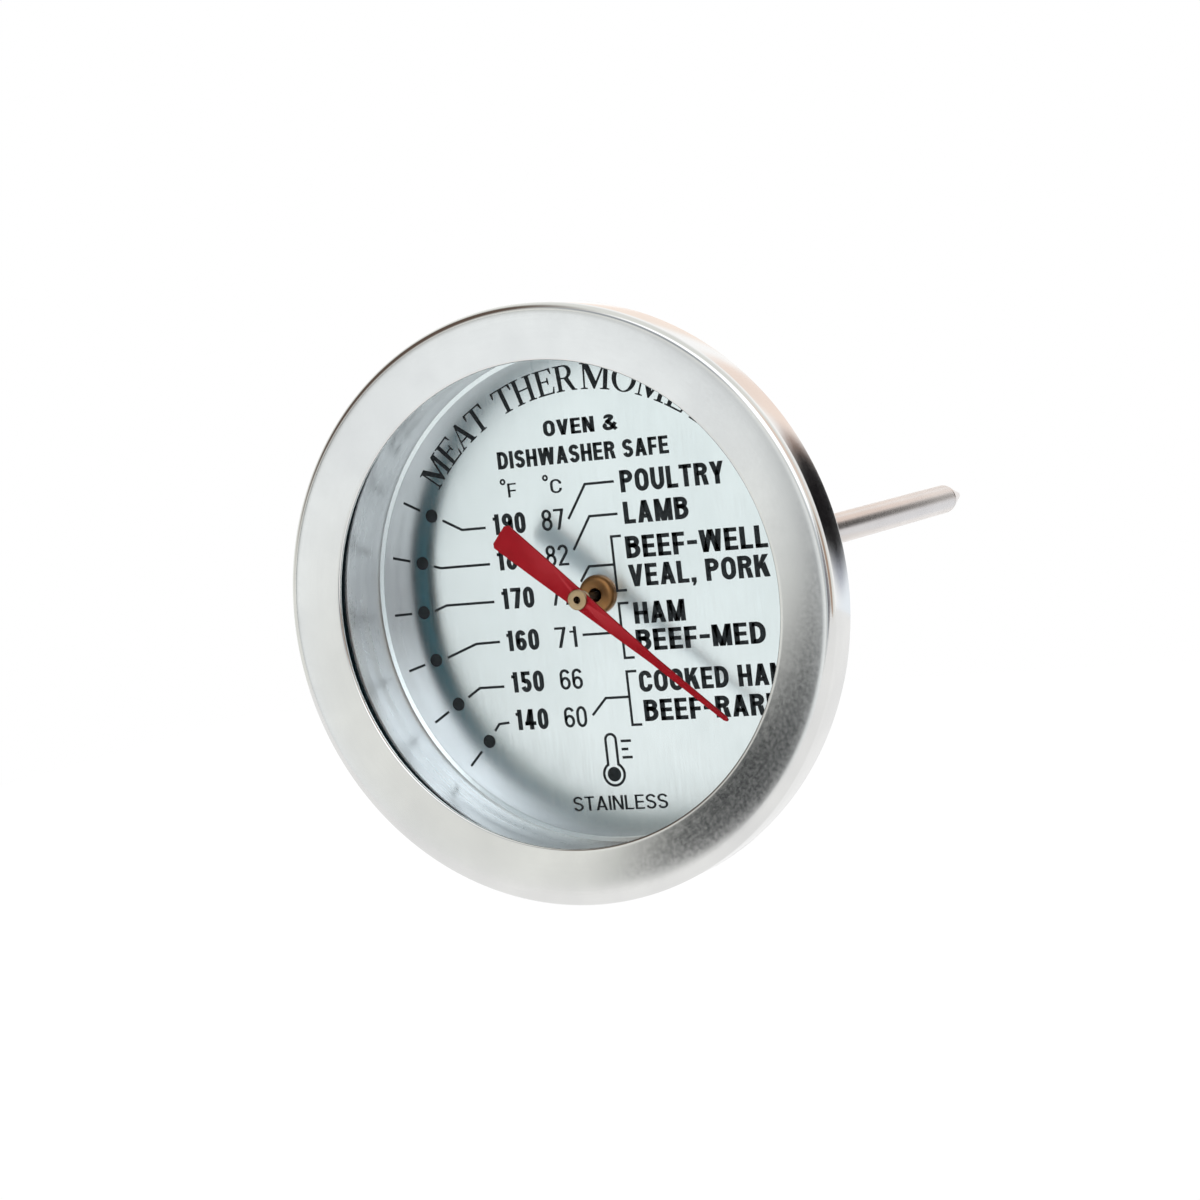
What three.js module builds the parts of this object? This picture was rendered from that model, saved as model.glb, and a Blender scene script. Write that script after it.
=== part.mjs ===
// Dial meat thermometer: a glazed stainless case on a pointed probe stem, driven by a bimetal helix.
// Millimetres, +Z up. The dial faces -Y and the stem points along +Y. The origin is on the stem's axis,
// at the rear shoulder of the collar, where the bare stem begins.
import * as THREE from 'three';

// Driving dimensions. A depth is measured from the bezel's front face towards the stem's tip.
const COLLAR_END = 17.5;
const STEM_END = 123;
const BEZEL_RADIUS = 30;
const BEZEL_OPENING_RADIUS = 24.3;
const BEZEL_SHEET = 0.5;
const FLANGE_FRONT = 3.65;
const FLANGE_RADIUS = 29.4;
const WALL_RADIUS = 25.6;
const CASE_SHEET = 0.6;
const CASE_BACK = 15;
const CASE_REAR_RADIUS = 22;
const SEAL_RECESS = 0.6;
const DIAL_FRONT = 11;
const DIAL_BACK = 11.5;
const SPIGOT_RADIUS = 2.9;
const STEM_RADIUS = 1.9;
const STEM_BORE_RADIUS = 1.6;
const POINT_LENGTH = 6;
const SHAFT_RADIUS = 0.4;
const HELIX_FRONT = 72;
const HELIX_TURNS = 18;
const HELIX_PITCH = 2.2;
const HELIX_RADIUS = 1.15;
const STRIP_WIDTH = 1.6;
const STRIP_THICKNESS = 0.2;

// Gaps: between seated pieces, between loosely nested pieces, and round the turning shaft.
const SEATED = 0.05;
const LOOSE = 0.1;
const RUNNING = 0.07;

// The scale: the pointer turns clockwise as it warms, and rests at room temperature.
const DEGREES_PER_FAHRENHEIT = 1.4448;
const DIRECTION_AT_140F = -135.1;
const ROOM_FAHRENHEIT = 75;

// Sides on the case's pieces, the collar's and the stem's.
const CASE_SIDES = 48;
const COLLAR_SIDES = 40;
const STEM_SIDES = 20;

const steel = { color: 0xc4c6c8, roughness: 0.32, metalness: 1 };
const satinSteel = { color: 0xb9bcbe, roughness: 0.4, metalness: 1 };
const aluminium = { color: 0xcfd8da, roughness: 0.45, metalness: 0.9 };
const brass = { color: 0xb79a5e, roughness: 0.35, metalness: 1 };
const rubber = { color: 0x17181a, roughness: 0.7, metalness: 0 };
const redPaint = { color: 0xaa1e28, roughness: 0.4, metalness: 0.1 };
const clearGlass = { color: 0xeef6f6, roughness: 0.03, metalness: 0, transparent: true, opacity: 0.25 };

const part = new THREE.Group();
const radians = THREE.MathUtils.degToRad;

function addMesh(name, geometry, finish, parent = part) {
  const mesh = new THREE.Mesh(geometry, new THREE.MeshStandardMaterial(finish));
  mesh.name = name;
  parent.add(mesh);
  return mesh;
}

// Points of an arc in the (radius, depth) plane, both ends included.
function arc(centreRadius, centreDepth, size, from, to, steps = 3) {
  const points = [];
  for (let i = 0; i <= steps; i++) {
    const angle = radians(from + ((to - from) * i) / steps);
    points.push([centreRadius + size * Math.cos(angle), centreDepth + size * Math.sin(angle)]);
  }
  return points;
}

// A turned piece. The outline holds [radius, depth] points, with increasing depth on its outer side.
// A ring's outline closes on itself, and a solid piece's starts and ends on the axis.
function addTurned(name, outline, finish, sides, parent = part) {
  const points = outline.map(([radius, depth]) => new THREE.Vector2(radius, depth - COLLAR_END));
  if (outline[0][0] > 0) {
    points.push(points[0].clone());
  }
  addMesh(name, new THREE.LatheGeometry(points, sides), finish, parent);
}

// A plain ring with square edges.
function addRing(name, innerRadius, outerRadius, front, back, finish, sides, parent = part) {
  const outline = [
    [innerRadius, front],
    [outerRadius, front],
    [outerRadius, back],
    [innerRadius, back],
  ];
  addTurned(name, outline, finish, sides, parent);
}

// A flat piece cut from sheet: its shape is drawn as seen from the front.
function addFlat(name, shape, front, thickness, finish, parent = part) {
  const geometry = new THREE.ExtrudeGeometry(shape, {
    depth: thickness,
    bevelEnabled: false,
    curveSegments: STEM_SIDES / 2,
  });
  const mesh = addMesh(name, geometry, finish, parent);
  mesh.rotation.x = Math.PI / 2;
  mesh.position.y = front + thickness - COLLAR_END;
}

function roundHole(radius) {
  const hole = new THREE.Path();
  hole.absarc(0, 0, radius, 0, 2 * Math.PI, true);
  return hole;
}

// The bezel: its face is flat at the rim and dips towards the opening, and its skirt is crimped behind
// the case's flange.
function addBezel() {
  const edge = 0.8;
  const dip = 0.45;
  const flatInner = 28;
  const skirtInner = BEZEL_RADIUS - BEZEL_SHEET;
  const crimpFront = FLANGE_FRONT + BEZEL_SHEET + LOOSE;
  const crimpInner = 27;
  const outline = [
    [BEZEL_OPENING_RADIUS, dip + BEZEL_SHEET],
    [BEZEL_OPENING_RADIUS, dip],
    [flatInner, 0],
    ...arc(BEZEL_RADIUS - edge, edge, edge, -90, 0),
    ...arc(skirtInner, crimpFront, BEZEL_SHEET, 0, 90),
    [crimpInner, crimpFront + BEZEL_SHEET],
    [crimpInner, crimpFront],
    [skirtInner, crimpFront],
    [skirtInner, edge],
    [BEZEL_RADIUS - edge, BEZEL_SHEET],
    [flatInner, BEZEL_SHEET],
  ];
  addTurned('bezel_ring', outline, satinSteel, CASE_SIDES);
}

// The glass, and the channel-shaped seal round its edge.
function addGlassAndSeal() {
  const glassFront = 1.25;
  const glassBack = 3.25;
  const glassRadius = 28.1;
  const bevel = 0.3;
  const glass = [
    [0, glassFront],
    [glassRadius - bevel, glassFront],
    [glassRadius, glassFront + bevel],
    [glassRadius, glassBack - bevel],
    [glassRadius - bevel, glassBack],
    [0, glassBack],
  ];
  addTurned('lens_glass', glass, clearGlass, CASE_SIDES);

  const sealInner = 25.5;
  const sealFront = 0.9;
  const sealBack = FLANGE_FRONT - SEATED;
  const sealCorner = 0.4;
  const channelRadius = glassRadius + LOOSE;
  const seal = [
    [sealInner, sealFront],
    [FLANGE_RADIUS - sealCorner, sealFront],
    [FLANGE_RADIUS, sealFront + sealCorner],
    [FLANGE_RADIUS, sealBack],
    [sealInner, sealBack],
    [sealInner, glassBack + SEATED],
    [channelRadius, glassBack + SEATED],
    [channelRadius, glassFront - SEATED],
    [sealInner, glassFront - SEATED],
  ];
  addTurned('lens_gasket', seal, rubber, CASE_SIDES);
}

// The case: one drawn cup with a front flange, a step that the dial lies on, and a recess at the back
// for the stem's seal.
function addCase() {
  const flangeBend = 0.6;
  const stepBend = 1;
  const rearBend = 2.5;
  const outerWall = WALL_RADIUS + CASE_SHEET;
  const stepFront = DIAL_BACK + SEATED;
  const stepBack = stepFront + CASE_SHEET;
  const backInside = CASE_BACK - CASE_SHEET;
  const recessBack = CASE_BACK - SEAL_RECESS;
  const recessRadius = 5.6;
  const recessInside = recessRadius + 0.3;
  const holeRadius = SPIGOT_RADIUS + LOOSE;
  const outline = [
    ...arc(WALL_RADIUS + flangeBend, FLANGE_FRONT + flangeBend, flangeBend, 180, 270),
    [FLANGE_RADIUS, FLANGE_FRONT],
    [FLANGE_RADIUS, FLANGE_FRONT + BEZEL_SHEET],
    [outerWall, FLANGE_FRONT + BEZEL_SHEET],
    ...arc(outerWall - stepBend, stepBack - stepBend, stepBend, 0, 90),
    [CASE_REAR_RADIUS, stepBack],
    ...arc(CASE_REAR_RADIUS - rearBend, CASE_BACK - rearBend, rearBend, 0, 90),
    [recessRadius + SEAL_RECESS, CASE_BACK],
    [recessRadius, recessBack],
    [holeRadius, recessBack],
    [holeRadius, recessBack - CASE_SHEET],
    [recessInside, recessBack - CASE_SHEET],
    [recessInside + SEAL_RECESS, backInside],
    [CASE_REAR_RADIUS - rearBend, backInside],
    [CASE_REAR_RADIUS - CASE_SHEET, CASE_BACK - rearBend],
    [CASE_REAR_RADIUS - CASE_SHEET, stepFront],
    [WALL_RADIUS, stepFront],
  ];
  addTurned('case_cup', outline, steel, CASE_SIDES);
}

// The dial: a thin plate with a small upturned rim, and a flanged bush for the shaft staked through it.
function addDial() {
  const bodyRadius = 1.4;
  const boreRadius = 0.75;
  const flangeRadius = 2;
  const flangeFront = DIAL_FRONT - 0.8;
  const bevel = 0.3;
  const stakedEnd = DIAL_BACK + 0.35;
  const plateHole = bodyRadius + SEATED;
  const plateRadius = WALL_RADIUS - LOOSE;
  const rim = 0.45;
  const plate = [
    [plateHole, DIAL_FRONT],
    [plateRadius - rim, DIAL_FRONT],
    [plateRadius, DIAL_FRONT - rim],
    [plateRadius, DIAL_BACK],
    [plateHole, DIAL_BACK],
  ];
  addTurned('dial_plate', plate, aluminium, CASE_SIDES);
  const bush = [
    [boreRadius, flangeFront],
    [flangeRadius - bevel, flangeFront],
    [flangeRadius, flangeFront + bevel],
    [flangeRadius, DIAL_FRONT - SEATED],
    [bodyRadius, DIAL_FRONT - SEATED],
    [bodyRadius, stakedEnd],
    [boreRadius, stakedEnd],
  ];
  addTurned('dial_bush', bush, brass, STEM_SIDES);
}

// The stem's joint to the case: the collar's spigot passes a seal and the case back, and a nut inside
// holds it.
function addStemJoint() {
  const boreRadius = STEM_RADIUS + SEATED;
  const spigotFront = 12.1;
  const chamfer = 0.2;
  const flangeRadius = 5;
  const flangeFront = CASE_BACK + SEATED;
  const flangeBack = flangeFront + 1;
  const shoulderRadius = 2.7;
  const collar = [
    [boreRadius, spigotFront],
    [SPIGOT_RADIUS - chamfer, spigotFront],
    [SPIGOT_RADIUS, spigotFront + chamfer],
    [SPIGOT_RADIUS, flangeFront],
    [flangeRadius - chamfer, flangeFront],
    [flangeRadius, flangeFront + chamfer],
    [flangeRadius, flangeBack - chamfer],
    [flangeRadius - chamfer, flangeBack],
    [shoulderRadius, COLLAR_END],
    [boreRadius, COLLAR_END],
  ];
  addTurned('stem_collar', collar, steel, COLLAR_SIDES);

  const holeRadius = SPIGOT_RADIUS + LOOSE;
  const sealRadius = 4.8;
  const sealFront = CASE_BACK - SEAL_RECESS + SEATED;
  addRing('back_gasket', holeRadius, sealRadius, sealFront, CASE_BACK, rubber, COLLAR_SIDES);

  const nutCorner = 4.6;
  const nutThickness = 1.3;
  const nutBack = CASE_BACK - SEAL_RECESS - CASE_SHEET - LOOSE;
  const corners = [];
  for (let i = 0; i < 6; i++) {
    corners.push(new THREE.Vector2(nutCorner, 0).rotateAround(new THREE.Vector2(), radians(60 * i)));
  }
  const nut = new THREE.Shape(corners);
  nut.holes.push(roundHole(holeRadius));
  addFlat('collar_nut', nut, nutBack - nutThickness, nutThickness, steel);
}

// The stem: a thin tube closed by a pointed plug, with bored guides that steady the shaft inside it.
function addStem() {
  const tubeFront = 12.2;
  const tubeBack = STEM_END - POINT_LENGTH - 0.5;
  const insideRadius = STEM_BORE_RADIUS - SEATED;
  const plugFront = tubeBack - 1.5;
  const noseRadius = 0.5;
  addRing('stem_tube', STEM_BORE_RADIUS, STEM_RADIUS, tubeFront, tubeBack, steel, STEM_SIDES);
  const tip = [
    [0, plugFront],
    [insideRadius, plugFront],
    [insideRadius, tubeBack + SEATED],
    [STEM_RADIUS, tubeBack + SEATED],
    [STEM_RADIUS, STEM_END - POINT_LENGTH],
    ...arc(0, STEM_END - noseRadius, noseRadius, 15, 75, 2),
    [0, STEM_END],
  ];
  addTurned('stem_tip', tip, steel, STEM_SIDES);

  const guideLength = 2;
  const guideFronts = { upper_shaft_guide: 14, middle_shaft_guide: 42, lower_shaft_guide: 67 };
  for (const [name, front] of Object.entries(guideFronts)) {
    addRing(name, SHAFT_RADIUS + RUNNING, insideRadius, front, front + guideLength, brass, STEM_SIDES);
  }
}

// The bimetal helix: a flat strip bent round the axis, held at its far end by the anchor in the stem.
function addHelix() {
  const stepsPerTurn = 12;
  const length = HELIX_TURNS * HELIX_PITCH;
  const strip = new THREE.BoxGeometry(STRIP_THICKNESS, STRIP_WIDTH, 1, 1, 1, HELIX_TURNS * stepsPerTurn);
  const places = strip.getAttribute('position');
  for (let i = 0; i < places.count; i++) {
    const along = places.getZ(i) + 0.5;
    const radius = HELIX_RADIUS + places.getX(i);
    const angle = 2 * Math.PI * HELIX_TURNS * along;
    const depth = HELIX_FRONT + STRIP_WIDTH / 2 + length * along + places.getY(i);
    places.setXYZ(i, radius * Math.cos(angle), depth - COLLAR_END, radius * Math.sin(angle));
  }
  addMesh('bimetal_helix', strip, satinSteel);

  const flangeFront = HELIX_FRONT + length + STRIP_WIDTH + LOOSE;
  const flangeBack = flangeFront + 1.1;
  const flangeRadius = STEM_BORE_RADIUS - SEATED;
  const spigotRadius = HELIX_RADIUS - STRIP_THICKNESS / 2 - 0.15;
  const spigotFront = flangeFront - 1.6;
  const anchor = [
    [0, spigotFront],
    [spigotRadius, spigotFront],
    [spigotRadius, flangeFront],
    [flangeRadius, flangeFront],
    [flangeRadius, flangeBack],
    [0, flangeBack],
  ];
  addTurned('helix_anchor', anchor, brass, STEM_SIDES);
}

// The moving assembly: the blade riveted to its hub, and the shaft down to the collar that the helix
// turns.
function addPointer() {
  const pointer = new THREE.Group();
  const roomDirection = DIRECTION_AT_140F + DEGREES_PER_FAHRENHEIT * (140 - ROOM_FAHRENHEIT);
  pointer.rotation.y = radians(-roomDirection);
  part.add(pointer);

  const bladeFront = 6.4;
  const bladeThickness = 0.3;
  const neckRadius = 0.6;
  const lowerEdge = [
    [-10.9, -1.1],
    [-10.55, -1.45],
    [0, -0.95],
    [10, -0.4],
    [19.4, -0.24],
    [19.8, -0.12],
  ];
  const upperEdge = lowerEdge.map(([x, y]) => [x, -y]).reverse();
  const blade = new THREE.Shape([...lowerEdge, ...upperEdge].map(([x, y]) => new THREE.Vector2(x, y)));
  blade.holes.push(roundHole(neckRadius + SEATED));
  addFlat('pointer_blade', blade, bladeFront, bladeThickness, redPaint, pointer);

  const boreRadius = SHAFT_RADIUS + SEATED;
  const eyeRadius = 0.36;
  const rivetRadius = 1.05;
  const bossRadius = 0.8;
  const bevel = 0.1;
  const hubFront = 6.05;
  const hubBack = 7.6;
  const boreFront = hubFront + 0.35;
  const bladeBack = bladeFront + bladeThickness;
  const hub = [
    [eyeRadius, hubFront],
    [rivetRadius - bevel, hubFront],
    [rivetRadius, hubFront + bevel],
    [rivetRadius, bladeFront - SEATED],
    [neckRadius, bladeFront - SEATED],
    [neckRadius, bladeBack + SEATED],
    [bossRadius, bladeBack + SEATED],
    [bossRadius, hubBack],
    [boreRadius, hubBack],
    [boreRadius, boreFront],
    [eyeRadius, boreFront],
  ];
  addTurned('pointer_hub', hub, brass, STEM_SIDES, pointer);

  const shaftFront = boreFront + 0.4;
  const shaftBack = HELIX_FRONT - 0.4;
  const shaft = [
    [0, shaftFront],
    [SHAFT_RADIUS, shaftFront],
    [SHAFT_RADIUS, shaftBack],
    [0, shaftBack],
  ];
  addTurned('pointer_shaft', shaft, steel, STEM_SIDES, pointer);
  const collarRadius = 1.25;
  const collarFront = shaftBack - 1.2;
  addRing('helix_collar', boreRadius, collarRadius, collarFront, shaftBack, brass, STEM_SIDES, pointer);
}

addBezel();
addGlassAndSeal();
addCase();
addDial();
addStemJoint();
addStem();
addHelix();
addPointer();

export default part;
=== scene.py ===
"""Visual model of a dial meat thermometer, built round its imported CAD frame.

Metres, +Z up. The dial faces -Y, and the stem points along +Y.
"""
import math

import bmesh
import bpy
from mathutils import Matrix, Vector


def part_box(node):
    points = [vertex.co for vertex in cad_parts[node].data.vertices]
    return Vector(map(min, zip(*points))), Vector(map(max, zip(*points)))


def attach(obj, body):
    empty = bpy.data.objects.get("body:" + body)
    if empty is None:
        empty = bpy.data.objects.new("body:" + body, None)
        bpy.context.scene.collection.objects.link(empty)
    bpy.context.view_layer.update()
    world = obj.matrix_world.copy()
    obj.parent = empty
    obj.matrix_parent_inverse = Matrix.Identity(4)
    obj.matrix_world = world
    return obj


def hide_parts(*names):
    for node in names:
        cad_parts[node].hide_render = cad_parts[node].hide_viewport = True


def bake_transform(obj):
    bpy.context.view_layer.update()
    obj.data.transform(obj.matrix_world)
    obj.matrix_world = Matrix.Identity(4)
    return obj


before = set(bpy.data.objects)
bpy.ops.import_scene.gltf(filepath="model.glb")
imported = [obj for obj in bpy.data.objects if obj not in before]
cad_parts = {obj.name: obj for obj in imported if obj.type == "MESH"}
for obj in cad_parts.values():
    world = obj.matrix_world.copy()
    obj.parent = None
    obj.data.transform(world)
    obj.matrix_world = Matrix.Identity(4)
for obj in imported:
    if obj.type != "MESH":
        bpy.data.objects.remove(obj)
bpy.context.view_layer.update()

MM = 0.001
SHARP_ANGLE = math.radians(32)
CASE_SIDES = 240
STEM_SIDES = 64
CASE_SHEET = 0.6 * MM
BEZEL_SHEET = 0.5 * MM
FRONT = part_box("bezel_ring")[0].y
DIAL_RIM = 0.45 * MM
DIAL_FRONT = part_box("dial_plate")[0].y + DIAL_RIM
SEATED = 0.05 * MM
HELIX_RADIUS = 1.15 * MM
POINTER_DIRECTION = math.radians(-41.19)

# The camera looks along its azimuth and elevation at a point in the bezel's front plane.
CAMERA_AZIMUTH = math.radians(26.744)
CAMERA_ELEVATION = math.radians(4.629)
CAMERA_ROLL = math.radians(6.54)
CAMERA_DISTANCE = 277.4 * MM
CAMERA_AIM = Vector((5.67 * MM, FRONT, 0.39 * MM))
CAMERA_LENS_MM = 85.3
CAMERA_SENSOR_MM = 36


# ---------------------------------------------------------------- meshes

def rounded(corners, steps=5):
    """The outline's points, with each (radius, y, fillet) corner turned into an arc of that fillet."""
    points = []
    count = len(corners)
    for i, corner in enumerate(corners):
        here = Vector(corner[:2])
        if len(corner) == 2:
            points.append(here)
            continue
        before = Vector(corners[i - 1][:2]) - here
        after = Vector(corners[(i + 1) % count][:2]) - here
        half = before.angle(after) / 2
        reach = corner[2] / math.tan(half)
        centre = here + (before.normalized() + after.normalized()).normalized() * corner[2] / math.sin(half)
        start = here + before.normalized() * reach - centre
        end = here + after.normalized() * reach - centre
        turn = start.angle_signed(end)
        for step in range(steps + 1):
            angle = turn * step / steps
            points.append(centre + Matrix.Rotation(-angle, 2) @ start)
    return points


def finish_mesh(name, bm):
    """Cleans the body, marks its sharp edges and puts it in the scene as a new object."""
    bmesh.ops.remove_doubles(bm, verts=bm.verts, dist=1e-7)
    bmesh.ops.recalc_face_normals(bm, faces=bm.faces)
    for face in bm.faces:
        face.smooth = True
    for edge in bm.edges:
        edge.smooth = len(edge.link_faces) == 2 and edge.calc_face_angle() < SHARP_ANGLE
    mesh = bpy.data.meshes.new(name)
    bm.to_mesh(mesh)
    bm.free()
    piece = bpy.data.objects.new(name, mesh)
    bpy.context.collection.objects.link(piece)
    return piece


def bridge(bm, first, second):
    """Faces between two rings of points. A ring on the axis is one point, repeated."""
    for i in range(len(first)):
        j = (i + 1) % len(first)
        loop = list(dict.fromkeys([first[i], first[j], second[j], second[i]]))
        if len(loop) > 2:
            bm.faces.new(loop)


def lathe(name, corners, sides, steps=5):
    """A body turned about the stem's axis. The outline closes on itself, or starts and ends on the axis."""
    outline = rounded(corners, steps)
    bm = bmesh.new()
    rings = []
    for radius, y in outline:
        if radius < 1e-9:
            rings.append([bm.verts.new((0, y, 0))] * sides)
            continue
        ring = []
        for i in range(sides):
            angle = 2 * math.pi * i / sides
            ring.append(bm.verts.new((radius * math.sin(angle), y, radius * math.cos(angle))))
        rings.append(ring)
    pairs = list(zip(rings, rings[1:]))
    if outline[0][0] > 1e-9:
        pairs.append((rings[-1], rings[0]))
    for first, second in pairs:
        bridge(bm, first, second)
    return finish_mesh(name, bm)


def add_piece(piece, body, material, slot, *nodes):
    """Gives a piece its material and its place in the frame."""
    piece.data.materials.clear()
    piece.data.materials.append(material)
    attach(piece, body)
    if nodes:
        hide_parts(*nodes)
    return piece


def span(node):
    """Outer radius, front and back of a round CAD node."""
    low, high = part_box(node)
    return (high.x - low.x) / 2, low.y, high.y


# ---------------------------------------------------------------- materials

def add_node(tree, kind, inputs=None, **settings):
    """A shader node. An input is a socket to link from, or a value."""
    node = tree.nodes.new(kind)
    for key, value in settings.items():
        setattr(node, key, value)
    for key, value in (inputs or {}).items():
        if isinstance(value, bpy.types.NodeSocket):
            tree.links.new(value, node.inputs[key])
        else:
            node.inputs[key].default_value = value
    return node


def math_node(tree, operation, *values):
    node = add_node(tree, "ShaderNodeMath", dict(enumerate(values)), operation=operation)
    return node.outputs[0]


def noise(tree, vector, scale, detail=2.0, roughness=0.5):
    inputs = {"Vector": vector, "Scale": scale, "Detail": detail, "Roughness": roughness}
    return add_node(tree, "ShaderNodeTexNoise", inputs).outputs["Fac"]


def remap(tree, value, low, high, from_low=0.3, from_high=0.7):
    inputs = {"Value": value, "From Min": from_low, "From Max": from_high, "To Min": low, "To Max": high}
    return add_node(tree, "ShaderNodeMapRange", inputs).outputs["Result"]


def mix_colour(tree, factor, first, second, blend_type="MIX"):
    node = add_node(tree, "ShaderNodeMix", data_type="RGBA", blend_type=blend_type)
    for index, value in ((0, factor), (6, first), (7, second)):
        if isinstance(value, bpy.types.NodeSocket):
            tree.links.new(value, node.inputs[index])
        else:
            node.inputs[index].default_value = value if index == 0 else (*value, 1)
    return node.outputs[2]


def new_material(name, **settings):
    """A material with one Principled shader, whose uniform values are set on its own sockets."""
    material = bpy.data.materials.new(name)
    material.use_nodes = True
    tree = material.node_tree
    shader = tree.nodes["Principled BSDF"]
    for key, value in settings.items():
        socket = shader.inputs[key.replace("_", " ")]
        socket.default_value = (*value, 1) if isinstance(value, tuple) else value
    return material, tree, shader


def object_place(tree):
    return add_node(tree, "ShaderNodeTexCoord").outputs["Object"]


def axis_place(tree):
    """Distance from the stem's axis, and the three coordinates."""
    x, y, z = add_node(tree, "ShaderNodeSeparateXYZ", {"Vector": object_place(tree)}).outputs
    square = math_node(tree, "ADD", math_node(tree, "MULTIPLY", x, x), math_node(tree, "MULTIPLY", z, z))
    return math_node(tree, "SQRT", math_node(tree, "MAXIMUM", square, 1e-12)), x, y, z


def turned_coordinates(tree, line_width):
    """Coordinates in which noise becomes fine lines that run round the stem's axis."""
    wander = 2.5
    radius, x, y, z = axis_place(tree)
    across = math_node(tree, "DIVIDE", math_node(tree, "SUBTRACT", radius, y), line_width)
    around_x = math_node(tree, "MULTIPLY", math_node(tree, "DIVIDE", x, radius), wander)
    around_z = math_node(tree, "MULTIPLY", math_node(tree, "DIVIDE", z, radius), wander)
    return add_node(tree, "ShaderNodeCombineXYZ", {"X": across, "Y": around_x, "Z": around_z}).outputs[0]


def add_bump(tree, shader, height, distance, strength=0.5):
    inputs = {"Height": height, "Distance": distance, "Strength": strength}
    bump = add_node(tree, "ShaderNodeBump", inputs)
    tree.links.new(bump.outputs["Normal"], shader.inputs["Normal"])


def lighten_edges(tree, colour, edge_highlight, low=0.52, high=0.6):
    """The colour, lightened towards a second colour along convex edges: a painted highlight along the
    edges.
    """
    pointiness = add_node(tree, "ShaderNodeNewGeometry").outputs["Pointiness"]
    return mix_colour(tree, remap(tree, pointiness, 0.0, 1.0, low, high), colour, edge_highlight)


def turned_metal(name, light, dark, roughness, line_width=0.12 * MM, anisotropy=0.0, bump=0.6, smear=1.0):
    """Metal with faint stains and fine lines round its axis, which spread its reflections across them."""
    uniform = {"Metallic": 1.0, "Anisotropic": anisotropy, "Anisotropic_Rotation": 0.25}
    material, tree, shader = new_material(name, **uniform)
    lines = noise(tree, turned_coordinates(tree, line_width), 1.0, 3.0, 0.6)
    clouds = noise(tree, object_place(tree), 90.0, 3.0, 0.6)
    specks = noise(tree, object_place(tree), 2600.0, 1.0)
    base = mix_colour(tree, remap(tree, clouds, 0.0, 1.0), light, dark)
    base = mix_colour(tree, remap(tree, lines, 0.0, 0.16), base, dark)
    tree.links.new(base, shader.inputs["Base Color"])
    line_smear = remap(tree, lines, -0.05 * smear, 0.06 * smear)
    smears = math_node(tree, "ADD", line_smear, remap(tree, clouds, -0.03 * smear, 0.04 * smear))
    total = math_node(tree, "ADD", smears, remap(tree, specks, roughness - 0.01, roughness + 0.02))
    tree.links.new(total, shader.inputs["Roughness"])
    add_bump(tree, shader, lines, 0.0015 * MM, bump)
    if anisotropy:
        tangent = add_node(tree, "ShaderNodeTangent", direction_type="RADIAL", axis="Y")
        tree.links.new(tangent.outputs[0], shader.inputs["Tangent"])
    return material


def dial_metal():
    """Satin anodised aluminium with a fine grain, which spreads its reflections upright."""
    material, tree, shader = new_material("dial_metal", Metallic=0.975, Anisotropic=0.9)
    stretched = add_node(tree, "ShaderNodeMapping", {"Vector": object_place(tree), "Scale": (1, 1, 0.06)})
    grain = noise(tree, stretched.outputs[0], 5200.0, 2.0, 0.6)
    clouds = noise(tree, object_place(tree), 70.0, 3.0, 0.6)
    base = mix_colour(tree, remap(tree, clouds, 0.0, 1.0), DIAL_LIGHT, DIAL_DARK)
    base = mix_colour(tree, remap(tree, grain, 0.0, 0.2), base, DIAL_DARK)
    tree.links.new(base, shader.inputs["Base Color"])
    rough = math_node(tree, "ADD", remap(tree, grain, 0.18, 0.23), remap(tree, clouds, -0.01, 0.02))
    tree.links.new(rough, shader.inputs["Roughness"])
    add_bump(tree, shader, grain, 0.001 * MM, 0.12)
    upright = add_node(tree, "ShaderNodeCombineXYZ", {"Z": 1.0})
    tree.links.new(upright.outputs[0], shader.inputs["Tangent"])
    return material


def red_enamel():
    """Red enamel on the blade's front and edges, with a painted highlight along the edges; its back is bare
    metal.
    """
    material, tree, shader = new_material("red_enamel", Coat_Weight=0.02, Coat_Roughness=0.2)
    shader.inputs["Specular IOR Level"].default_value = 0.05
    mottle = noise(tree, object_place(tree), 900.0, 3.0, 0.6)
    peel = noise(tree, object_place(tree), 4200.0, 1.0)
    base = mix_colour(tree, remap(tree, mottle, 0.0, 1.0), RED_LIGHT, RED_DARK)
    # Painted highlight: the red is lightened along the blade's convex edges.
    base = lighten_edges(tree, base, RED_EDGE_HIGHLIGHT)
    normal = add_node(tree, "ShaderNodeNewGeometry").outputs["Normal"]
    facing = add_node(tree, "ShaderNodeSeparateXYZ", {"Vector": normal}).outputs["Y"]
    bare = remap(tree, facing, 0.0, 1.0, 0.8, 0.9)
    base = mix_colour(tree, bare, base, BARE_BACK)
    tree.links.new(base, shader.inputs["Base Color"])
    tree.links.new(bare, shader.inputs["Metallic"])
    tree.links.new(remap(tree, mottle, 0.45, 0.6), shader.inputs["Roughness"])
    add_bump(tree, shader, peel, 0.006 * MM, 0.5)
    return material


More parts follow.
